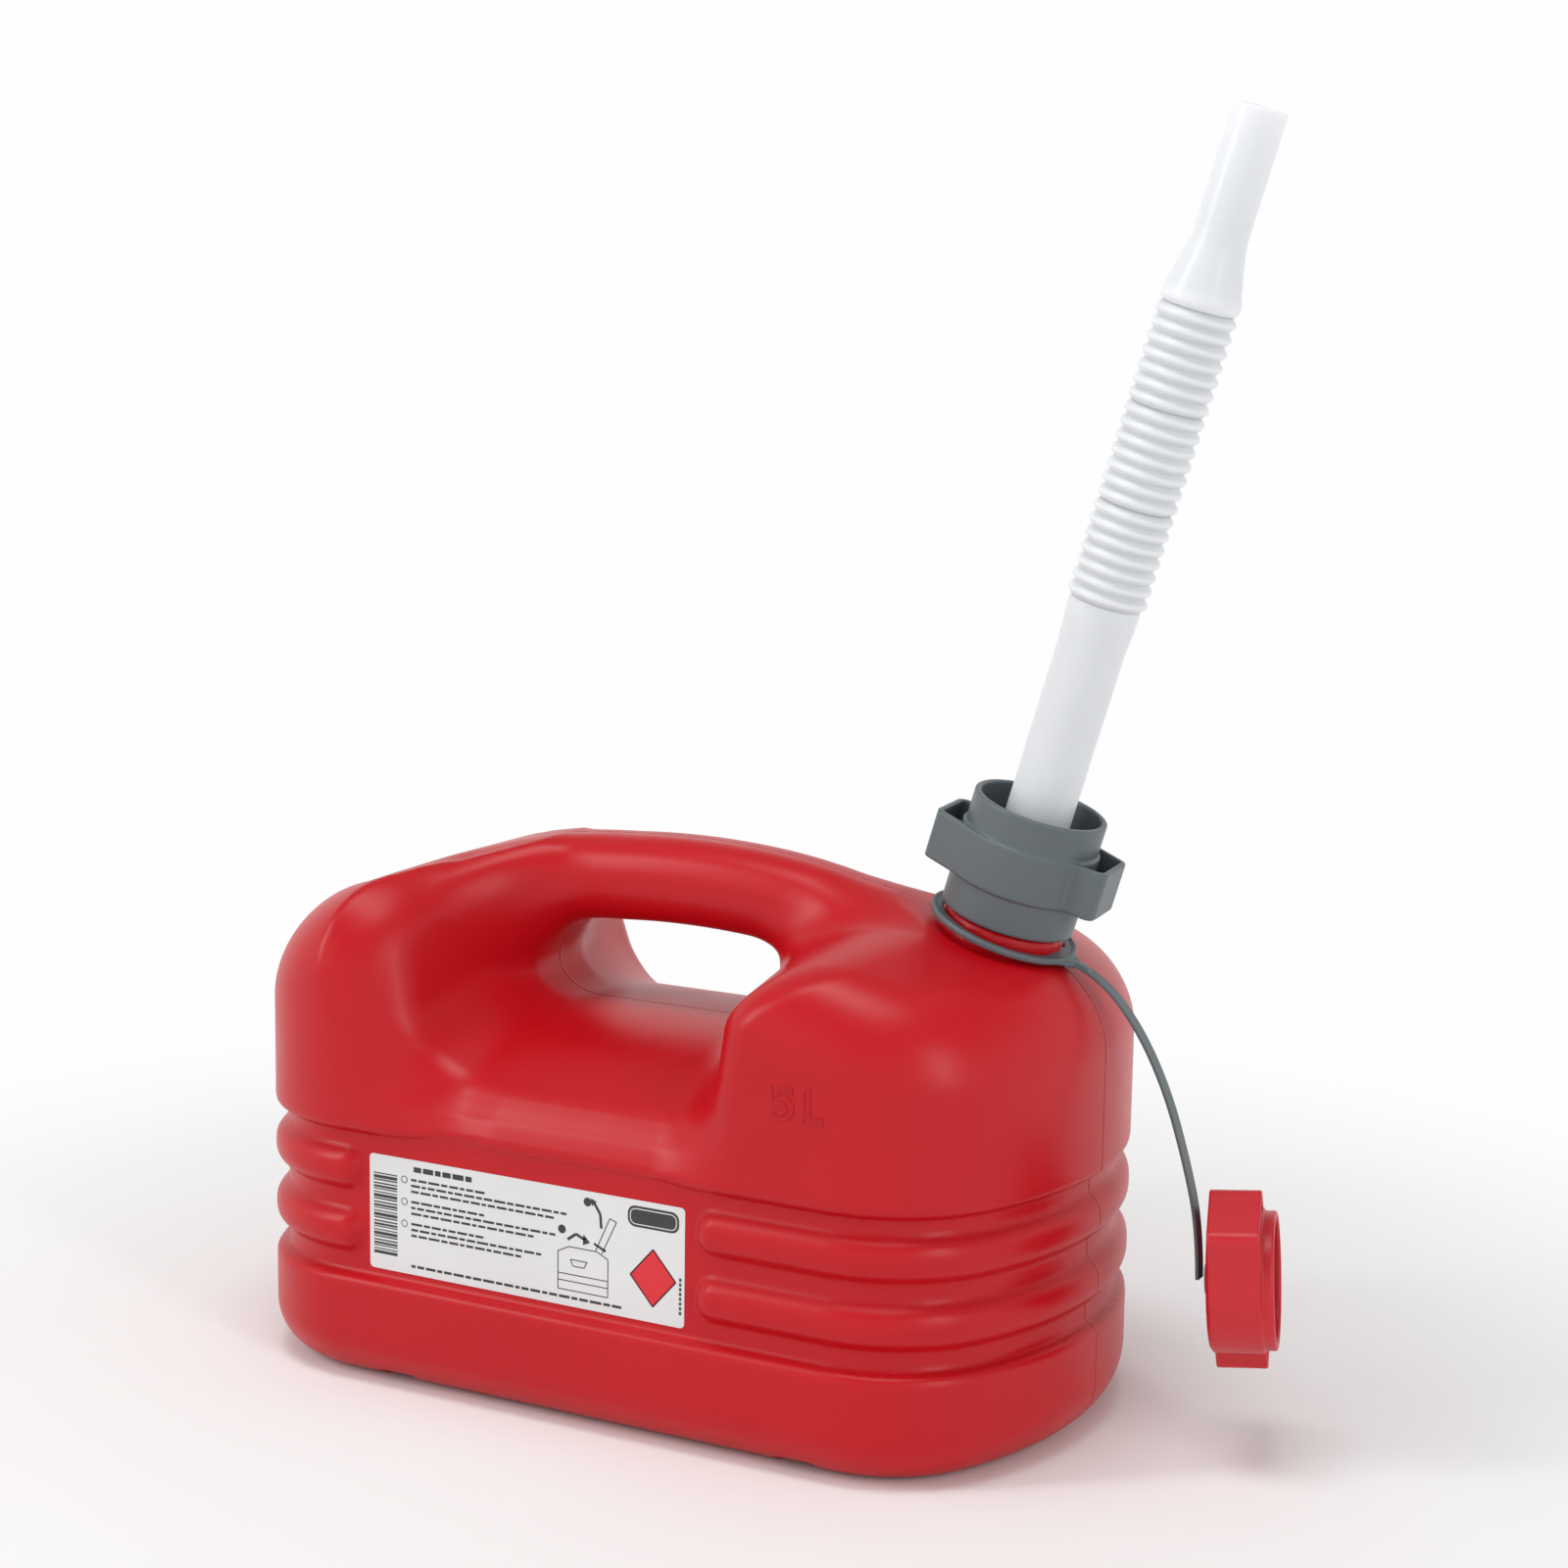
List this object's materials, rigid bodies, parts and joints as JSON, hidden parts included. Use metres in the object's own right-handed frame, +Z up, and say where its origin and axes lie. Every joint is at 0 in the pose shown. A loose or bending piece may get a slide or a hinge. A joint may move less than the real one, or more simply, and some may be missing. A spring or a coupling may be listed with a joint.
{
  "type": "jerry can",
  "caption": "Small plastic jerry can with moulded-in handle, flexible pouring spout screwed on by an eared collar, and a screw cap hanging on a strap",
  "frame": {"origin": "middle of the can's flat underside, on the surface it stands on", "axes": "+X towards the neck end, +Z up, and the labelled long side faces -Y"},
  "size_m": [0.346, 0.16, 0.4034],
  "materials": {
    "can_red": "satin blow-moulded polyethylene",
    "cap_red": "smooth injection-moulded polyethylene",
    "collar_grey": "satin injection-moulded polyethylene",
    "spout_white": "translucent natural polyethylene",
    "seal_rubber": "matt",
    "label_paper": "coated label paper"
  },
  "bodies": {
    "can": {"can_body": "can_red", "side_label": "label_paper"},
    "seal": {"neck_gasket": "seal_rubber"},
    "spout_foot": {"spout_tube": "spout_white"},
    "spout_link_1": {"bellows_low": "spout_white"},
    "spout_link_2": {"bellows_mid": "spout_white"},
    "spout_link_3": {"bellows_high": "spout_white", "spout_tip": "spout_white"},
    "collar": {"union_collar": "collar_grey"},
    "tether": {"tether_ring": "collar_grey", "tether_strap": "collar_grey"},
    "drop": {"tether_button": "collar_grey"},
    "cap": {"screw_cap": "cap_red", "cap_liner": "seal_rubber"}
  },
  "joints": [
    {"name": "spout_lift", "type": "slide", "parent": "can", "child": "seal", "axis": [0.284, 0, 0.9588], "range_m": [0, 0.01]},
    {"name": "collar_turn", "type": "hinge", "parent": "seal", "child": "collar", "pos_m": [0.1085, 0, 0.1605], "axis": [0.284, 0, 0.9588], "range_deg": [0, 905]},
    {"name": "spout_swivel", "type": "hinge", "parent": "seal", "child": "spout_foot", "pos_m": [0.1085, 0, 0.1605], "axis": [0.284, 0, 0.9588], "range_deg": [-180, 180]},
    {"name": "spout_bend_1", "type": "hinge", "parent": "spout_foot", "child": "spout_link_1", "pos_m": [0.14173, 0, 0.27268], "axis": [0, 1, 0], "range_deg": [-22, 22], "stiffness_Nm_per_rad": 0.4, "deforming": ["bellows_low"]},
    {"name": "spout_bend_2", "type": "hinge", "parent": "spout_link_1", "child": "spout_link_2", "pos_m": [0.15025, 0, 0.30145], "axis": [0, 1, 0], "range_deg": [-22, 22], "stiffness_Nm_per_rad": 0.4, "deforming": ["bellows_mid"]},
    {"name": "spout_bend_3", "type": "hinge", "parent": "spout_link_2", "child": "spout_link_3", "pos_m": [0.15877, 0, 0.33021], "axis": [0, 1, 0], "range_deg": [-22, 22], "stiffness_Nm_per_rad": 0.4, "deforming": ["bellows_high"]},
    {"name": "tether_turn", "type": "hinge", "parent": "can", "child": "tether", "pos_m": [0.10731, 0, 0.15647], "axis": [0.284, 0, 0.9588], "range_deg": [-30, 30]},
    {"name": "tether_swing", "type": "hinge", "parent": "tether", "child": "drop", "pos_m": [0.14, 0, 0.1445], "axis": [0, 1, 0], "range_deg": [-30, 10], "stiffness_Nm_per_rad": 0.1, "springref_deg": -3.67, "deforming": ["tether_strap"]},
    {"name": "cap_spin", "type": "hinge", "parent": "drop", "child": "cap", "pos_m": [0.1784, 0, 0.0563], "axis": [0.9593, 0.2751, 0.0645], "continuous": true}
  ],
  "couplings": [
    {"joint": "collar_turn", "follows": "spout_lift", "rad_per_m": 1570.8},
    {"joint": "spout_bend_2", "follows": "spout_bend_1", "ratio": 1},
    {"joint": "spout_bend_3", "follows": "spout_bend_1", "ratio": 1}
  ]
}
